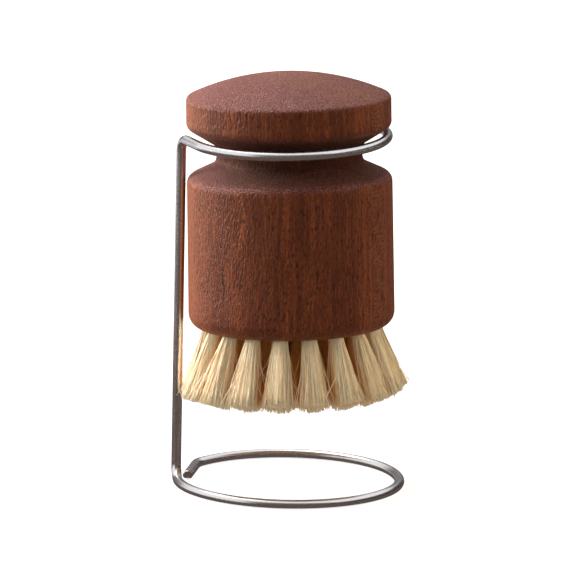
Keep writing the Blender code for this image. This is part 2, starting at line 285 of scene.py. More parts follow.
wire_line, wire_radii = with_cut_ends(wire_path())
wire_points, wire_faces = skin(tube(wire_line, wire_radii, WIRE_SIDES))
wire_stand = add_piece(
    "bent_wire_stand", wire_points, wire_faces, drawn_steel(), "stand", ["wire_stand"]
)
wire_turn = np.arange(WIRE_SIDES) * math.tau / WIRE_SIDES
wire_run = np.cumsum(np.linalg.norm(np.diff(wire_line, axis=0, prepend=wire_line[:1]), axis=1))
round_and_along = np.stack(
    np.broadcast_arrays(np.cos(wire_turn), np.sin(wire_turn), wire_run[:, None]), axis=-1
).reshape(-1, 3)
cut_middles = [(0, 0, wire_run[0]), (0, 0, wire_run[-1])]
add_attribute(wire_stand, "round_and_along", "FLOAT_VECTOR", np.vstack([round_and_along, cut_middles]))


# The body is turned on a lathe from one block of red-brown hardwood, sanded and oiled: a domed cap, a
# neck and a barrel. It hangs in the cradle ring by the flare under its cap and leans back a little.
BRUSH_PLACE = (-0.001616, 0.0018, 0.107202)
BRUSH_LEAN = math.radians(2.6)
CAP_RADIUS = 0.03075
DOME_RADIUS = 0.0722
DOME_TOP = 0.01869
DOME_POLE = 0.003
CAP_TOP_ROUND = 0.0016
CAP_UNDER_ROUND = 0.0024
SEAT_SLOPE = math.radians(31.8)
SEAT_POINT = (0.028601, 0.00153)
NECK_RADIUS = 0.0219
NECK_FOOT_Z = -0.008025
NECK_ROUND = 0.0030
SHOULDER_Z = -0.012213
SHOULDER_ROUND = 0.0031
BODY_RADIUS = 0.0308
FOOT_RADIUS = 0.03095
FACE_Z = -0.057913
FOOT_ROUND = 0.0046
TURN_SIDES = 192
HOLE_RADIUS = 0.0026
HOLE_DEPTH = 0.0085
HOLE_SIDES = 24
OVERRUN = 0.0010

brush_turn = (-BRUSH_LEAN, -CRADLE_TILT, 0)
brush_place = Matrix.Translation(BRUSH_PLACE) @ Matrix.Rotation(-CRADLE_TILT, 4, "Y")
brush_place = brush_place @ Matrix.Rotation(-BRUSH_LEAN, 4, "X")

# Tufts stand in a centre hole and three rings of holes. Each row is a ring's name, the number of its
# holes and where its first hole stands. Tufts lean out by the square of their ring's number, up to
# OUTER_SPLAY, but no tuft reaches further than TIP_ROOM towards the upright.
TUFT_RINGS = (
    ("centre", 1, 0.0),
    ("inner", 6, math.radians(17.0)),
    ("middle", 12, math.radians(9.0)),
    ("outer", 18, math.radians(2.4)),
)
OUTER_RING = 3
RING_PITCH = 0.00815
BRISTLE_LENGTH = 0.0220
TIP_RADIUS = 0.0043
OUTER_SPLAY = math.radians(18.0)
TIP_ROOM = 0.032829


def underside_z(r):
    """Height of the cap's flared underside at distance r from the axis: a straight slope."""
    return SEAT_POINT[1] + (r - SEAT_POINT[0]) * math.tan(SEAT_SLOPE)


def turned_profile():
    """Outline of the body from the top of its dome to its face, as points at (r, 0, z).

    The dome is an arc of DOME_RADIUS about the axis, from DOME_POLE radians off it, and a smaller arc
    inside it rounds its edge. Below that the corners of the outline are rounded by arcs, with points
    between them on the lines.
    """
    dome_z = DOME_TOP - DOME_RADIUS
    edge_r = CAP_RADIUS - CAP_TOP_ROUND
    edge_z = dome_z + math.sqrt((DOME_RADIUS - CAP_TOP_ROUND) ** 2 - edge_r**2)
    meet = math.atan2(edge_r, edge_z - dome_z)
    crown = np.linspace(DOME_POLE, meet, 48)[:, None]
    turn = np.linspace(meet, math.pi / 2, 12)[1:, None]
    dome = DOME_RADIUS * np.hstack([np.sin(crown), 0 * crown, np.cos(crown)]) + (0, 0, dome_z)
    edge = CAP_TOP_ROUND * np.hstack([np.sin(turn), 0 * turn, np.cos(turn)]) + (edge_r, 0, edge_z)
    corners = np.array(
        [
            edge[-1],
            (CAP_RADIUS, 0, underside_z(CAP_RADIUS)),
            (NECK_RADIUS, 0, underside_z(NECK_RADIUS)),
            (NECK_RADIUS, 0, NECK_FOOT_Z),
            (BODY_RADIUS, 0, SHOULDER_Z),
            (FOOT_RADIUS, 0, FACE_Z),
            (0, 0, FACE_Z),
        ]
    )
    rounds = (CAP_UNDER_ROUND, NECK_ROUND, NECK_ROUND, SHOULDER_ROUND, FOOT_ROUND)
    outline = [dome, edge]
    for before, corner, after, radius in zip(corners, corners[1:], corners[2:], rounds):
        curve = bend(before, corner, after, radius, 12)
        outline += [np.linspace(outline[-1][-1], curve[0], 8)[1:-1], curve]
    return np.vstack(outline)


def tuft_places():
    """Name, ring number and place of every tuft. In its own frame its fibres run along -Z."""
    for ring, (ring_name, count, first) in enumerate(TUFT_RINGS):
        splay = OUTER_SPLAY * (ring / OUTER_RING) ** 2
        for i in range(count):
            angle = first + math.tau * i / count
            lean, toward_upright = splay, -math.cos(angle)
            reach = ring * RING_PITCH + BRISTLE_LENGTH * math.sin(splay)
            if reach * toward_upright + TIP_RADIUS > TIP_ROOM:
                held = (TIP_ROOM - TIP_RADIUS) / toward_upright
                lean = math.asin((held - ring * RING_PITCH) / BRISTLE_LENGTH)
            mouth = Matrix.Rotation(angle, 4, "Z") @ Matrix.Translation((ring * RING_PITCH, 0, FACE_Z))
            name = f"tuft_{ring_name}" if count == 1 else f"tuft_{ring_name}_{i + 1:02d}"
            yield name, ring, mouth @ Matrix.Rotation(-lean, 4, "Y")


def drill(piece):
    """Cuts every tuft's hole into the face of the body, and leaves no cutter behind."""
    ends = np.array([(0, 0, HOLE_DEPTH), (0, 0, -OVERRUN)])
    ring = arc((0, 0, 0), HOLE_RADIUS, 0, math.tau, HOLE_SIDES)[:-1]
    points, faces = skin(ends[:, None] + ring[::-1])
    places = [brush_place @ place for _, _, place in tuft_places()]
    drills = np.vstack([placed(points, place) for place in places])
    corners = [[i + k * len(points) for i in face] for k in range(len(places)) for face in faces]
    mesh = bpy.data.meshes.new("drills")
    mesh.from_pydata(drills.tolist(), [], corners)
    cutter = bpy.data.objects.new("drills", mesh)
    bpy.context.scene.collection.objects.link(cutter)
    cut = piece.modifiers.new("tuft_holes", "BOOLEAN")
    cut.operation, cut.object = "DIFFERENCE", cutter
    graph = bpy.context.evaluated_depsgraph_get()
    drilled = bpy.data.meshes.new_from_object(piece.evaluated_get(graph))
    piece.modifiers.clear()
    bpy.data.objects.remove(cutter)
    piece.data = drilled
    drilled.set_sharp_from_angle(angle=SHARP_ANGLE)


# Colours of the wood, from its darkest grain to its palest, and the painted shade of the neck and of the
# flare under the cap, where the cap shades them. Shine and glow tint what the oiled surface reflects
# straight back and at a slant.
WOOD_DARK = (0.056, 0.0120, 0.0050, 1)
WOOD_RED = (0.114, 0.0245, 0.0084, 1)
WOOD_ORANGE = (0.222, 0.0560, 0.0165, 1)
# The next colour is that of faces cut across the grain that look up. Its mauve tint is partly the wood's
# end grain and partly painted sheen from above.
END_GRAIN_AND_SHEEN = (0.088, 0.0165, 0.0320, 1)
# The next colour is the end grain painted paler on the side that the lamps light most: painted light.
END_GRAIN_PAINTED_LIGHT = (0.200, 0.0720, 0.0720, 1)
PALE_DOTS = (0.600, 0.2600, 0.2100, 1)
PORE_SHADE = (0.020, 0.0050, 0.0027, 1)
RAY_GROUND = (0.300, 0.0980, 0.0380, 1)
NECK_PAINTED_SHADE = (0.022, 0.0036, 0.0018, 1)
FLARE_PAINTED_SHADE = (0.006, 0.0022, 0.0024, 1)
WOOD_SHINE = (1.0, 0.50, 0.34, 1)
WOOD_GLOW = (1.0, 0.42, 0.24, 1)
WOOD_ROUGHNESS = 0.44

# Where the pattern lies in the block, in mm, with Z along the grain and the axis of the body. PITH is
# the middle of the tree's rings, so the rings pass through the block as near planes, and turns about it
# are measured as arcs at ARC_RADIUS. Towards the upright's side, which the lamps light most, the block
# is painted paler: painted light.
PITH = (69.3, 54.1)
ARC_RADIUS = 85.0
RINGS_PER_MM = 0.42
RUNGS_PER_MM = 0.75
RUNG_BOW, RUNG_WANDER = 80.0, 2.2
PAINTED_LIGHT_SIDE = (-0.97, 0.24, 0)
CHECK_TURN = math.radians(-129.0)
CHECK_FOOT_Z, CHECK_TOP_Z = -46.5, -34.0

# How fine each pattern is, in cells per mm: across the grain both ways and along it, and for rays
# outward from the pith, round it and along the grain.
GRAIN_DRIFT = 0.03
BANDS = (0.17, 0.17, 0.005)
STREAKS = (1.7, 1.7, 0.06)
THREADS = (5.0, 5.0, 0.30)
RIPPLE = (2.3, 2.3, 0.65)
PORES = (2.0, 2.0, 0.62)
GRIT = (3.2, 3.2, 0.9)
SPECKS = (2.5, 2.5, 1.8)
CHECK_WANDER = (0.2, 0.2, 0.35)
RAY_PATCHES = (0.30, 0.30, 0.22)
RAY_BOW = (0.10, 0.10, 0.13)
RAY_WANDER = (0.45, 0.45, 0.45)


def blended(tree, factor, under, over):
    """Mixes colour over into colour under by a factor from 0 to 1."""
    return node(tree, "Mix", {0: factor, 6: under, 7: over}, data_type="RGBA").outputs[2]


def maths(tree, operation, *values):
    """One step of arithmetic on values or sockets."""
    return node(tree, "Math", dict(enumerate(values)), operation=operation).outputs[0]


def vector_maths(tree, operation, *values):
    """One step of arithmetic on vectors, which comes out as a vector, or as a number where it is one."""
    made = node(tree, "VectorMath", dict(enumerate(values)), operation=operation)
    return made.outputs["Value" if operation in ("LENGTH", "DOT_PRODUCT") else "Vector"]


def times(tree, first, *others):
    """The product of several values or sockets."""
    for other in others:
        first = maths(tree, "MULTIPLY", first, other)
    return first


def summed(tree, start, *parts):
    """A starting value plus several others, each times its share."""
    for value, share in parts:
        start = maths(tree, "MULTIPLY_ADD", value, share, start)
    return start


def in_brush_frame(tree):
    """Object coordinates turned and centred to the leaning body, in millimetres, Z along its axis."""
    place = {"Vector": node(tree, "TexCoord", {}).outputs["Object"], "Location": BRUSH_PLACE}
    place |= {"Rotation": brush_turn, "Scale": (0.001, 0.001, 0.001)}
    return node(tree, "Mapping", place, vector_type="TEXTURE").outputs[0]


def ray_ladders(tree, facing, outward, ray_place):
    """Masks of the wood where rays lie in the surface, and of the dark rungs across it.

    Seen along the rays, cut rays make ladders on paler wood. With c the cosine between the surface's
    normal and the ray, a rung lies where the fraction of height x RUNGS_PER_MM + bow x c squared, plus
    RUNG_WANDER of noise, is near a half. The bow is a noise from -RUNG_BOW to RUNG_BOW, so the rungs
    bow up or down as the surface turns away.
    """
    along_ray = vector_maths(tree, "DOT_PRODUCT", facing, outward)
    in_surface = spread(tree, maths(tree, "ABSOLUTE", along_ray), 0.04, 0.20, 1.0, 0.0)
    patches = spread(tree, noise(tree, ray_place, RAY_PATCHES), 0.38, 0.55)
    ground = times(tree, in_surface, patches)
    bow = summed(tree, -RUNG_BOW, (noise(tree, ray_place, RAY_BOW, 0.0), 2 * RUNG_BOW))
    height = node(tree, "SeparateXYZ", {0: ray_place}).outputs[2]
    wander = noise(tree, ray_place, RAY_WANDER)
    rungs = times(tree, along_ray, along_ray, bow)
    rungs = summed(tree, rungs, (wander, RUNG_WANDER), (height, RUNGS_PER_MM))
    rungs = maths(tree, "FRACT", rungs)
    from_rung = maths(tree, "ABSOLUTE", maths(tree, "SUBTRACT", rungs, 0.5))
    return ground, times(tree, spread(tree, from_rung, 0.06, 0.22, 1.0, 0.0), ground)


def seasoning_check(tree, grain):
    """Mask of a seasoning check: a short fine crack along the grain, at the front left of the barrel.

    It lies in a plane through the axis at CHECK_TURN, wanders off it by up to 1.5 mm, and fades out
    towards the axis and towards its foot and top.
    """
    turned = node(tree, "Mapping", {"Vector": grain, "Rotation": (0, 0, -CHECK_TURN)}).outputs[0]
    out, aside, height = node(tree, "SeparateXYZ", {0: turned}).outputs
    wander = summed(tree, -1.5, (noise(tree, grain, CHECK_WANDER), 3.0))
    aside = maths(tree, "ABSOLUTE", maths(tree, "ADD", aside, wander))
    return times(
        tree,
        spread(tree, aside, 0.25, 0.60, 1.0, 0.0),
        spread(tree, out, 20.0, 25.0),
        spread(tree, height, CHECK_FOOT_Z, CHECK_FOOT_Z + 3.0),
        spread(tree, height, CHECK_TOP_Z - 4.0, CHECK_TOP_Z, 1.0, 0.0),
    )


def painted_shade_in_neck(tree, here, to_painted_light_side, specks):
    """Masks of painted shade in the neck and in the flare above it, where the cap shades the turning.

    The neck's mask covers the turning between cap and barrel, less towards the side that is painted as
    lit and less in the specks of the grain. The flare's is the part of it under the cap, where the
    painted shade is darkest.
    """
    from_axis = vector_maths(tree, "LENGTH", vector_maths(tree, "MULTIPLY", here, (1, 1, 0)))
    height = node(tree, "SeparateXYZ", {0: here}).outputs[2]
    neck = times(
        tree,
        spread(tree, height, 3.0, 6.0, 1.0, 0.0),
        spread(tree, height, -15.0, -11.0),
        spread(tree, from_axis, 28.0, 31.5, 1.0, 0.0),
        spread(tree, to_painted_light_side, 7.0, 22.0, 1.0, 0.45),
        spread(tree, specks, 0.0, 1.0, 1.0, 0.62),
    )
    return neck, times(tree, neck, spread(tree, height, -3.0, 1.5, 0.0, 0.9))


def oiled_hardwood():
    """Oiled red-brown hardwood, one solid pattern cut by the surface as real grain is.

    Side faces show bands, fine streaks, short dark pores and, where the rings meet the surface
    square, ladders of rays. The dome and shoulder cut across the grain and show pale dots instead.
    """
    settings = {"Specular IOR Level": 0.66, "Specular Tint": WOOD_SHINE}
    settings |= {"Sheen Weight": 0.18, "Sheen Roughness": 0.35, "Sheen Tint": WOOD_GLOW}
    material, tree, shader = new_material("oiled_red_hardwood", settings)
    here = in_brush_frame(tree)
    drift = {"Vector": here, "Scale": GRAIN_DRIFT, "Detail": 1.0}
    drift = node(tree, "TexNoise", drift).outputs["Color"]
    drift = vector_maths(tree, "MULTIPLY_ADD", drift, (6, 6, 0), (-3, -3, 0))
    grain = vector_maths(tree, "ADD", here, drift)

    # A place in the tree is a distance from the pith, a turn about it and a height.
    mapping = {"Vector": grain, "Location": (*PITH, 0), "Scale": (-1, -1, 0)}
    spoke = node(tree, "Mapping", mapping).outputs[0]
    from_pith = vector_maths(tree, "LENGTH", spoke)
    parts = node(tree, "SeparateXYZ", {0: spoke}).outputs
    round_pith = times(tree, maths(tree, "ARCTAN2", parts[0], parts[1]), ARC_RADIUS)
    height = node(tree, "SeparateXYZ", {0: grain}).outputs[2]
    ray_place = node(tree, "CombineXYZ", {0: from_pith, 1: round_pith, 2: height}).outputs[0]

    # How pale the grain is: broad bands, the tree's rings with their dark late wood, and finer marks.
    ring_count = times(tree, from_pith, RINGS_PER_MM)
    rings = node(tree, "TexNoise", {"W": ring_count, "Scale": 1.0}, noise_dimensions="1D").outputs[0]
    late_wood = maths(tree, "POWER", maths(tree, "FRACT", ring_count), 5.0)
    streaks = spread(tree, noise(tree, grain, STREAKS, 3.0), 0.3, 0.7)
    tone = summed(
        tree,
        0.0,
        (spread(tree, noise(tree, grain, BANDS), 0.34, 0.66), 0.22),
        (spread(tree, rings, 0.35, 0.65), 0.18),
        (late_wood, -0.12),
        (streaks, 0.34),
        (spread(tree, noise(tree, grain, GRIT, 1.0), 0.3, 0.7), 0.28),
        (spread(tree, noise(tree, grain, THREADS, 1.0), 0.3, 0.7), 0.08),
    )
    pores = spread(tree, noise(tree, grain, PORES), 0.56, 0.66)
    speckle = noise(tree, grain, SPECKS)
    dots, specks = spread(tree, speckle, 0.51, 0.62), spread(tree, speckle, 0.36, 0.64)

    # Which way the surface is cut: across the grain where it faces along the axis, and along the rays.
    facing = node(tree, "TexCoord", {}).outputs["Normal"]
    axis = tuple(brush_place.to_3x3() @ Vector((0, 0, 1)))
    end_on = spread(tree, vector_maths(tree, "DOT_PRODUCT", facing, axis), 0.25, 0.75)
    ground, rungs = ray_ladders(tree, facing, vector_maths(tree, "NORMALIZE", spoke), ray_place)
    # The upright's side, which the lamps light most, is painted paler on its faces and its end grain:
    # painted light.
    to_painted_light_side = vector_maths(tree, "DOT_PRODUCT", here, PAINTED_LIGHT_SIDE)
    end_grain_and_light = spread(tree, to_painted_light_side, 12.0, 28.0, 0.0, 0.6)
    end_grain_and_light = blended(tree, end_grain_and_light, END_GRAIN_AND_SHEEN, END_GRAIN_PAINTED_LIGHT)
    check = seasoning_check(tree, grain)
    neck, flare = painted_shade_in_neck(tree, here, to_painted_light_side, specks)

    # Each layer has its mask, with its strength, and its colour. The first lies on WOOD_DARK.
    layers = (
        (spread(tree, tone, 0.10, 0.55), WOOD_RED),
        (spread(tree, tone, 0.50, 0.98), WOOD_ORANGE),
        # Painted light: paler orange towards the lit side.
        (spread(tree, to_painted_light_side, 18.0, 28.0, 0.0, 0.65), WOOD_ORANGE),
        # End grain on upward faces only, its mauve partly painted sheen.
        (times(tree, end_on, 0.86), end_grain_and_light),
        (times(tree, ground, spread(tree, to_painted_light_side, -10.0, 10.0, 0.34, 0.20)), RAY_GROUND),
        (times(tree, rungs, spread(tree, to_painted_light_side, -10.0, 10.0, 0.95, 0.40)), WOOD_DARK),
        (times(tree, pores, 0.85), PORE_SHADE),
        (times(tree, dots, end_on, 0.55), PALE_DOTS),
        (times(tree, check, 0.95), PORE_SHADE),
        # Painted shade in the neck under the cap, darkest in the flare.
        (neck, NECK_PAINTED_SHADE),
        (flare, FLARE_PAINTED_SHADE),
    )
    colour = WOOD_DARK
    for mask, over in layers:
        colour = blended(tree, mask, colour, over)
    tree.links.new(colour, shader.inputs["Base Color"])

    rough = summed(tree, WOOD_ROUGHNESS, (specks, 0.08), (pores, 0.15), (neck, 0.12))
    tree.links.new(rough, shader.inputs["Roughness"])
    ripple = spread(tree, noise(tree, grain, RIPPLE), 0.35, 0.65)
    hollows = maths(tree, "MAXIMUM", pores, check)
    end_specks = times(tree, specks, end_on)
    relief = summed(tree, 0.0, (streaks, 0.3), (ripple, 0.75), (hollows, -0.4), (end_specks, 2.2))
    bump = node(tree, "Bump", {"Strength": 0.8, "Distance": 0.00022, "Height": relief})
    tree.links.new(bump.outputs[0], shader.inputs["Normal"])
    return material


profile = turned_profile()
turn_angle = np.arange(TURN_SIDES)[:, None] * math.tau / TURN_SIDES
spokes = np.hstack([np.cos(turn_angle), -np.sin(turn_angle)])
heights = np.broadcast_to(profile[:, None, 2:], (len(profile), TURN_SIDES, 1))
turned = np.concatenate([profile[:, None, :1] * spokes, heights], axis=-1)
body_points, body_faces = skin(turned)
wooden_body = add_piece(
    "turned_wooden_body",
    placed(body_points, brush_place),
    body_faces,
    oiled_hardwood(),
    "brush",
    ["wooden_body"],
)
drill(wooden_body)


# Each tuft is a bundle of stiff plant fibre, cut from the leaf of an agave. It is folded over a flat
# steel anchor at the bottom of its hole, fans out from the hole's mouth, and is trimmed level.
FIBRES = 420
FIBRE_RINGS = 8
FIBRE_SIDES = 3
FIBRE_RADIUS = 0.000120
FIBRE_THICKNESS = (0.8, 1.2)
FIBRE_TAPER = 0.3
ROOT_RADIUS = 0.0022
ROOT_DEPTH = 0.0030
ROOT_CROWDING = 0.4
FAN_POWER = 1.1
SIDEWAYS_FAN = 1.22
GOLDEN_ANGLE = math.pi * (3 - math.sqrt(5))
FIRST_SEED = 1200

# The tips are drawn into locks and scattered. A stray one ends elsewhere in the tuft or a little
# outside it, and a flyaway leaves its tuft part of the way down. The outer tufts that the upright
# holds in, HELD_FROM of the way towards it or more, fan wider by HELD_FAN.
LOCKS = 22
LOCK_PULL = (0.05, 0.55)
TIP_INSET = 0.0001
TIP_SCATTER = 0.00030
STRAY_SHARE = 0.06
STRAY_SCATTER = 0.0022
STRAY_OVERREACH = 0.35
FLYAWAY_SHARE = 0.06
FLYAWAY_SCATTER = (0.0025, 0.0070)
FLYAWAY_START = (0.1, 0.5)
FIBRE_BOW, LOCK_BOW = 0.00028, 0.00022
FIBRE_WAVE, WAVES = 0.00010, 2.2
HELD_FROM, HELD_FAN = 0.5, 1.25
LOCK_SHADE, SHADE_POWER = 0.6, 1.2

# What the trimming takes off: a little at random, and more at a tuft's two sides and on the outside
# of the outer ring. UNTRIMMED is how fast the last fades out towards the upright.
UNEVEN_TIPS = 0.0006
SIDE_TRIM = 0.0009
OUTER_TRIM, TRIM_POWER = 0.0016, 1.5
UNTRIMMED = 1.2

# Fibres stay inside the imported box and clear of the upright, by its radius and 0.4 mm of air.
FIBRE_BOX = ((-0.03525, -0.03655, 0), (0.03595, 0.03665, 1))
UPRIGHT_REACH = 0.0019

# The inside of a tuft starts a little up its hole and ends short of the tips.
CORE_RINGS = 12
CORE_SIDES = 40
CORE_SHARE = 0.86
CORE_TAPER = 0.20
CORE_TOP = 0.0015
CORE_SHORT = 0.0010
GROOVES = (3, 5, 8, 13)
GROOVE_DEPTH = 0.035
CORE_SHADE, GROOVE_SHADE = 0.45, 0.12
CORE_END_SHADE = 0.5

FIBRE_PALE = (0.98, 0.880, 0.660, 1)
FIBRE_TAN = (0.84, 0.545, 0.210, 1)
# The next colour is painted shade: the golden brown of fibres deep in a tuft and between tufts.
FIBRE_PAINTED_SHADE = (0.88, 0.385, 0.078, 1)
MOTTLE = (1.6, 1.6, 0.25)
FIBRE_EDGE, FIBRE_EDGE_GROWTH = 0.0268, 0.40
FULLY_SUNK = 0.011


def fibre_lines(ring, toward_upright, random):
    """Centre lines of a tuft's fibres in its own frame, as (fibre, point, 3), and the shade of each.

    Roots fill the hole on a sunflower spiral. A fibre's distance from the axis grows with a power of
    its depth, towards a tip that is drawn to one of a few locks and fans wider along the ring than
    across it. The tips are trimmed a little unevenly, and round at the tuft's two sides. Each fibre
    has its own bow and wave, and a few fly off to one side. The shade is 0 for pale and 1 for tan, and
    is shared in part by a lock.
    """
    count = np.arange(FIBRES)[:, None] + 0.5
    turn = count * GOLDEN_ANGLE + random.uniform(0, math.tau)
    root = ROOT_RADIUS * (count / FIBRES) ** ROOT_CROWDING * np.hstack([np.cos(turn), np.sin(turn)])
    tip = root * (TIP_RADIUS - TIP_INSET) / ROOT_RADIUS
    middles = tip[random.choice(FIBRES, LOCKS, replace=False)]
    lock = np.linalg.norm(tip[:, None] - middles, axis=-1).argmin(axis=1)
    tip += (middles[lock] - tip) * random.uniform(*LOCK_PULL, (FIBRES, 1))
    tip += random.normal(0, TIP_SCATTER, (FIBRES, 2))
    stray = random.random(FIBRES) < STRAY_SHARE
    tip[stray] += random.normal(0, STRAY_SCATTER, (stray.sum(), 2))
    reach = np.linalg.norm(tip, axis=-1, keepdims=True)
    furthest = (TIP_RADIUS - TIP_INSET) * (1 + STRAY_OVERREACH * stray[:, None])
    tip *= np.minimum(1, furthest / reach) * (1, SIDEWAYS_FAN)
    if ring == OUTER_RING and toward_upright > HELD_FROM:
        tip[:, 0] *= HELD_FAN

    length = trimmed_length(ring, toward_upright, tip[:, 0])
    length = length - UNEVEN_TIPS * random.random(FIBRES) ** 2
    length -= SIDE_TRIM * (tip[:, 1] / (TIP_RADIUS * SIDEWAYS_FAN)) ** 2
    z = ROOT_DEPTH - (ROOT_DEPTH + length[:, None]) * np.linspace(0, 1, FIBRE_RINGS)
    depth = np.clip(-z / BRISTLE_LENGTH, 0, 1)[..., None]
    line = root[:, None] + (tip - root)[:, None] * depth**FAN_POWER
    bow = random.normal(0, FIBRE_BOW, (FIBRES, 1, 2))
    bow += random.normal(0, LOCK_BOW, (LOCKS, 1, 2))[lock]
    wave = random.normal(0, FIBRE_WAVE, (FIBRES, 1, 2))
    phase = random.uniform(0, math.tau, (FIBRES, 1, 1))
    line += bow * np.sin(math.pi * depth) + wave * depth * np.sin(WAVES * math.tau * depth + phase)
    flown = random.random((FIBRES, 1, 1)) < FLYAWAY_SHARE
    aside = random.normal(0, 1, (FIBRES, 1, 2)) * FLYAWAY_SCATTER
    line += flown * aside * np.clip(depth - random.uniform(*FLYAWAY_START, (FIBRES, 1, 1)), 0, 1)
    shade = LOCK_SHADE * random.random(LOCKS)[lock] + (1 - LOCK_SHADE) * random.random(FIBRES)
    return np.concatenate([line, z[..., None]], axis=-1), shade * (1 - flown[:, 0, 0])


def trimmed_length(ring, toward_upright, outward):
    """Length of fibres that end this far outward in their tuft.

    The outer ring is cut shorter outside, by OUTER_TRIM times a power of the share of the way across
    the tuft. Tufts that face the upright are cut less, and those close beside it aren't.
    """
    if ring < OUTER_RING:
        return np.full(outward.shape, BRISTLE_LENGTH)
    free = min(1, max(0, 1.0 - UNTRIMMED * toward_upright))
    across = np.clip((outward + TIP_RADIUS) / (2 * TIP_RADIUS), 0, 1)
    return BRISTLE_LENGTH - free * OUTER_TRIM * across**TRIM_POWER


def core_points(ring, toward_upright, random):
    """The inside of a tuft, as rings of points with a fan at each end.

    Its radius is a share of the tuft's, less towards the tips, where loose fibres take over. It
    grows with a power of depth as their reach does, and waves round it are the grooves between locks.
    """
    s = np.linspace(0, 1, CORE_RINGS)[:, None]
    a = -np.arange(CORE_SIDES) * math.tau / CORE_SIDES
    groove = sum(np.cos(waves * a + random.uniform(0, math.tau) + 0.8 * s) for waves in GROOVES)
    depth = np.clip((s * (BRISTLE_LENGTH + CORE_TOP) - CORE_TOP) / BRISTLE_LENGTH, 0, 1)
    share = CORE_SHARE - CORE_TAPER * s**3 + GROOVE_DEPTH * s * groove
    radius = (ROOT_RADIUS + (TIP_RADIUS - ROOT_RADIUS) * depth**FAN_POWER) * share
    x, y = radius * np.cos(a), radius * np.sin(a) * (1 + (SIDEWAYS_FAN - 1) * depth)
    z = CORE_TOP - s * (trimmed_length(ring, toward_upright, x) + CORE_TOP - CORE_SHORT)
    shade = np.append(CORE_SHADE + GROOVE_SHADE * groove.ravel(), [CORE_END_SHADE] * 2)
    return *skin(np.stack([x, y, z], axis=-1)), shade


def fibre_points(lines, random):
    """Three-sided fibres about their centre lines, thinner to the tip: (fibre, point, side, 3)."""
    turn = random.uniform(0, math.tau, (FIBRES, 1, 1))
    turn = turn - np.arange(FIBRE_SIDES) * math.tau / FIBRE_SIDES
    share = 1 - FIBRE_TAPER * np.linspace(0, 1, FIBRE_RINGS)[:, None]
    size = FIBRE_RADIUS * random.uniform(*FIBRE_THICKNESS, (FIBRES, 1, 1)) * share
    across = np.stack([size * np.cos(turn), size * np.sin(turn), 0 * size * turn], axis=-1)
    return lines[:, :, None] + across


def fibre_faces():
    """Faces of all the fibres of a tuft: quads along each of them and a triangle on each end."""
    size = FIBRE_RINGS * FIBRE_SIDES
    starts = np.arange(FIBRES)[:, None, None] * size
    quads = (quads_between(FIBRE_RINGS, FIBRE_SIDES) + starts).reshape(-1, 4).tolist()
    ends = (np.array([(2, 1, 0), (size - 3, size - 2, size - 1)]) + starts).reshape(-1, 3).tolist()
    return quads + ends


def sunken(points):
    """How deep points of the brush frame lie among the fibres: 0 outside, and 1 at FULLY_SUNK or more.

    The depth is the lesser of the distance in from the outer fibres, which stand FIBRE_EDGE from the
    axis and further towards their tips, and the distance up from the tips.
    """
    below = FACE_Z - points[..., 2]
    outer = FIBRE_EDGE + FIBRE_EDGE_GROWTH * np.clip(below, 0, None)
    inward = outer - np.linalg.norm(points[..., :2], axis=-1)
    upward = BRISTLE_LENGTH - below
    return np.clip(np.minimum(inward, upward) / FULLY_SUNK, 0, 1)


def plant_fibre():
    """Pale plant fibre. Some fibres are more tan than others, and deep ones are painted golden brown:
    painted shade, warmed as by light through the fibres round them.
    """
    material, tree, shader = new_material("pale_plant_fibre", {})
    tone = node(tree, "Attribute", {}, attribute_name="tone").outputs["Fac"]
    sunk = node(tree, "Attribute", {}, attribute_name="sunk").outputs["Fac"]
    mottle = spread(tree, noise(tree, in_brush_frame(tree), MOTTLE), 0.35, 0.65)
    tan = summed(tree, -0.1, (mottle, 0.3), (tone, 0.55))
    colour = blended(tree, tan, FIBRE_PALE, FIBRE_TAN)
    # Painted shade: deeper fibres turn golden brown.
    colour = blended(tree, spread(tree, sunk, 0.05, 0.50), colour, FIBRE_PAINTED_SHADE)
    tree.links.new(colour, shader.inputs["Base Color"])
    tree.links.new(summed(tree, 0.40, (tone, 0.15)), shader.inputs["Roughness"])
    return material


fibre_material = plant_fibre()
fibre_corners = fibre_faces()
for number, (tuft_name, ring, place) in enumerate(tuft_places()):
    random = np.random.default_rng(FIRST_SEED + number)
    toward_upright = -place.translation.x / (RING_PITCH * max(ring, 1))
    lines, shade = fibre_lines(ring, toward_upright, random)
    fibres = fibre_points(lines, random).reshape(-1, 3)
    core, core_faces, core_shade = core_points(ring, toward_upright, random)
    points = placed(np.vstack([fibres, core]), place)
    sunk = sunken(points)
    points = np.clip(placed(points, brush_place), *FIBRE_BOX)
    beside_upright = np.abs(points[:, 1] - BASE_SETBACK) < UPRIGHT_REACH
    points[beside_upright, 0] = np.maximum(points[beside_upright, 0], UPRIGHT_X + UPRIGHT_REACH)
    faces = fibre_corners + [[i + len(fibres) for i in face] for face in core_faces]
    name = "fibre_" + tuft_name
    tuft = add_piece(
        name, points, faces, fibre_material, "brush", [tuft_name], sharp_angle=math.pi
    )
    tone = np.repeat(shade**SHADE_POWER, FIBRE_RINGS * FIBRE_SIDES)
    add_attribute(tuft, "tone", "FLOAT", np.concatenate([tone, core_shade]))
    add_attribute(tuft, "sunk", "FLOAT", sunk)


# The studio: a white table that keeps the brush's shadow, in a white room. Broad lamps stand at the
# left, in front and overhead, and a weak warm one at the right. Glowing sheets that only reflections see
# paint the reflections that give the steel its dark core and its grey and pale sides.
FLOOR_HALF = 6.0
FLOOR_COLOUR = (0.34, 0.33, 0.32, 1)
ROOM_BOUNCE = (1.0, 0.91, 0.78, 1)
WHITE = (1, 1, 1, 1)
BLACK = (0, 0, 0, 1)


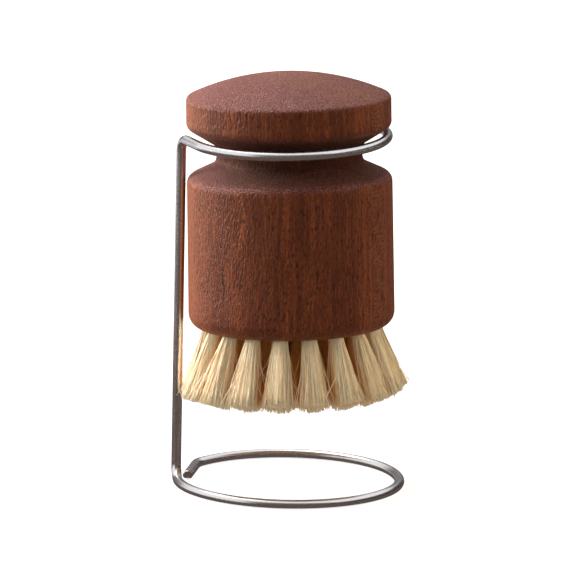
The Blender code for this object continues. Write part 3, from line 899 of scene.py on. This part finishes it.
def add_lamp(name, place, size, watts, colour, mirrored):
    """A square lamp of this size that faces the brush. Reflections don't show it unless mirrored."""
    lamp = bpy.data.objects.new(name, bpy.data.lights.new(name, "AREA"))
    lamp.data.size, lamp.data.energy, lamp.data.color = size, watts, colour
    lamp.location = place
    lamp.rotation_euler = (Vector(place) - AIM).to_track_quat("Z", "Y").to_euler()
    lamp.visible_glossy = mirrored
    bpy.context.scene.collection.objects.link(lamp)
    return lamp


def add_sheet(name, points, shape, material):
    """A sheet of the studio from a grid of points."""
    index = np.arange(shape[0] * shape[1]).reshape(shape)
    faces = np.stack([index[:-1, :-1], index[1:, :-1], index[1:, 1:], index[:-1, 1:]], axis=-1)
    mesh = bpy.data.meshes.new(name)
    mesh.from_pydata(points.reshape(-1, 3).tolist(), [], faces.reshape(-1, 4).tolist())
    mesh.materials.append(material)
    mesh.shade_smooth()
    sheet = bpy.data.objects.new(name, mesh)
    bpy.context.scene.collection.objects.link(sheet)
    return sheet


def seen_directly(tree):
    """1 for rays from the camera, off a shiny surface or through glass, and 0 for all others."""
    rays = node(tree, "LightPath", {}).outputs
    seen = maths(tree, "MAXIMUM", rays["Is Camera Ray"], rays["Is Glossy Ray"])
    return maths(tree, "MAXIMUM", seen, rays["Is Transmission Ray"])


def white_table():
    """A matt table whose own glow takes it to white for the camera and in reflections.

    Other rays see a fifth of the glow, so the table lights the underside as a white one does.
    """
    settings = {"Base Color": FLOOR_COLOUR, "Roughness": 0.9}
    settings |= {"Specular IOR Level": 0.0, "Emission Color": WHITE}
    material, tree, shader = new_material("white_table", settings)
    here = node(tree, "TexCoord", {}).outputs["Object"]
    glow = spread(tree, vector_maths(tree, "LENGTH", here), 0.05, 0.4, 0.84, 1.0)
    share = spread(tree, seen_directly(tree), 0.0, 1.0, 0.2, 1.0)
    tree.links.new(times(tree, glow, share), shader.inputs["Emission Strength"])
    return material


corner = np.array([-FLOOR_HALF, FLOOR_HALF])
across, back = np.meshgrid(corner, corner)
add_sheet("white_table", np.stack([across, back, 0 * across], axis=-1), across.shape, white_table())


# The front flag lies on the table round the brush and curves up over the camera. The pale flag lies
# behind at the left, the side flag stands at the right, and the back flag is a low one far behind. Each
# flag glows with its own colour and only reflections see it: a painted reflection.
BROWN_FLAG_GLOW = (0.115, 0.087, 0.072, 1)
GREY_FLAG_GLOW = (0.165, 0.155, 0.163, 1)
DARK_FLAG_GLOW = (0.045, 0.036, 0.034, 1)
PALE_FLAG_GLOW = (0.600, 0.585, 0.640, 1)
FLAG_LIFT = 0.0006
PALE_FLAG_LIFT = 0.0005
FLAG_REACH = 1.15
FLAG_RISE = math.radians(48)
FLAG_HALF = 0.9
FLAG_BACK = 0.98
PALE_FRONT = 0.08
PALE_RIGHT = -0.10
SIDE_DISTANCE, SIDE_HEIGHT = 1.1, 0.52
SIDE_TURN = (math.radians(-52), math.radians(70))
BACK_DISTANCE, BACK_HALF, BACK_HEIGHT = 1.0, 1.17, 0.55


def add_flag(name, points, foot, top):
    """A glowing flag that only reflections see, a painted reflection, from a grid of points. Its colour
    goes from foot to top.
    """
    settings = {"Base Color": BLACK, "Roughness": 1.0}
    settings |= {"Specular IOR Level": 0.0, "Emission Strength": 1.0}
    material, tree, shader = new_material(name, settings)
    height = node(tree, "SeparateXYZ", {0: node(tree, "TexCoord", {}).outputs["Object"]}).outputs[2]
    colour = blended(tree, spread(tree, height, 0.0, 1.0), foot, top)
    tree.links.new(colour, shader.inputs["Emission Color"])
    sheet = add_sheet(name, points, points.shape[:2], material)
    sheet.visible_camera = False
    sheet.visible_diffuse = False
    sheet.visible_transmission = False
    sheet.visible_volume_scatter = False
    sheet.visible_shadow = False


def grid(x, y, z):
    """Points (x, y, z) of a grid, from coordinates that are each shared along its rows or columns."""
    return np.stack(np.broadcast_arrays(x, y, z), axis=-1)


flat_y = np.linspace(FLAG_BACK, -FLAG_REACH, 14)
rise = np.linspace(0, FLAG_RISE, 16)[1:]
front_y = np.concatenate([flat_y, -FLAG_REACH * np.cos(rise)])[:, None]
front_z = FLAG_LIFT + np.concatenate([0 * flat_y, FLAG_REACH * np.sin(rise)])[:, None]
front_left = np.where(front_y < 0, -FLAG_HALF, PALE_RIGHT)
front_x = front_left + (FLAG_HALF - front_left) * np.linspace(0, 1, 9)
add_flag("front_flag", grid(front_x, front_y, front_z), BROWN_FLAG_GLOW, GREY_FLAG_GLOW)

pale_x = np.linspace(-FLAG_HALF, PALE_RIGHT, 5)
pale_y = np.linspace(FLAG_BACK, PALE_FRONT, 5)[:, None]
add_flag("pale_flag", grid(pale_x, pale_y, PALE_FLAG_LIFT), PALE_FLAG_GLOW, PALE_FLAG_GLOW)

side_turn = np.linspace(*SIDE_TURN, 16)[:, None]
side_x, side_y = SIDE_DISTANCE * np.cos(side_turn), SIDE_DISTANCE * np.sin(side_turn)
side_z = np.linspace(FLAG_LIFT, SIDE_HEIGHT, 6)
add_flag("side_flag", grid(side_x, side_y, side_z), DARK_FLAG_GLOW, DARK_FLAG_GLOW)

back_x = np.linspace(BACK_HALF, -BACK_HALF, 9)
back_z = np.linspace(FLAG_LIFT, BACK_HEIGHT, 4)[:, None]
add_flag("back_flag", grid(back_x, BACK_DISTANCE, back_z), GREY_FLAG_GLOW, GREY_FLAG_GLOW)


# Each lamp has its name, its place, its width in metres, its power in watts, its colour and whether
# reflections show it.
LAMPS = (
    ("left_lamp", (-1.00, 0.40, 0.50), 0.75, 21.5, (1.0, 0.985, 0.97), True),
    ("low_left_lamp", (-1.03, 0.42, 0.10), 0.45, 11.0, (1.0, 1.0, 0.99), False),
    ("front_lamp", (-1.05, -0.70, 0.90), 0.7, 4.3, (1.0, 1.0, 1.0), False),
    ("top_lamp", (-0.40, 0.30, 1.15), 0.8, 4.6, (1.0, 1.0, 1.0), True),
    ("right_lamp", (1.00, 0.10, 0.12), 0.7, 7.0, (1.0, 0.88, 0.66), False),
)
lamps = {name: add_lamp(name, *rest) for name, *rest in LAMPS}

# The left lamp is kept off the steel, where its reflection would burn out the wire's light side.
shaded = bpy.data.collections.new("kept_from_the_left_lamp")
shaded.objects.link(wire_stand)
shaded.collection_objects[0].light_linking.link_state = "EXCLUDE"
lamps["left_lamp"].light_linking.receiver_collection = shaded

# The room is white where it is seen, and lights the brush by half as much, in a warmer white.
world = bpy.data.worlds.new("white_room")
bpy.context.scene.world = world
world.use_nodes = True
room = world.node_tree
background = room.nodes["Background"]
seen = seen_directly(room)
room.links.new(blended(room, seen, ROOM_BOUNCE, WHITE), background.inputs["Color"])
room.links.new(spread(room, seen, 0.0, 1.0, 0.50, 1.0), background.inputs["Strength"])
bpy.context.scene.view_settings.view_transform = "Standard"
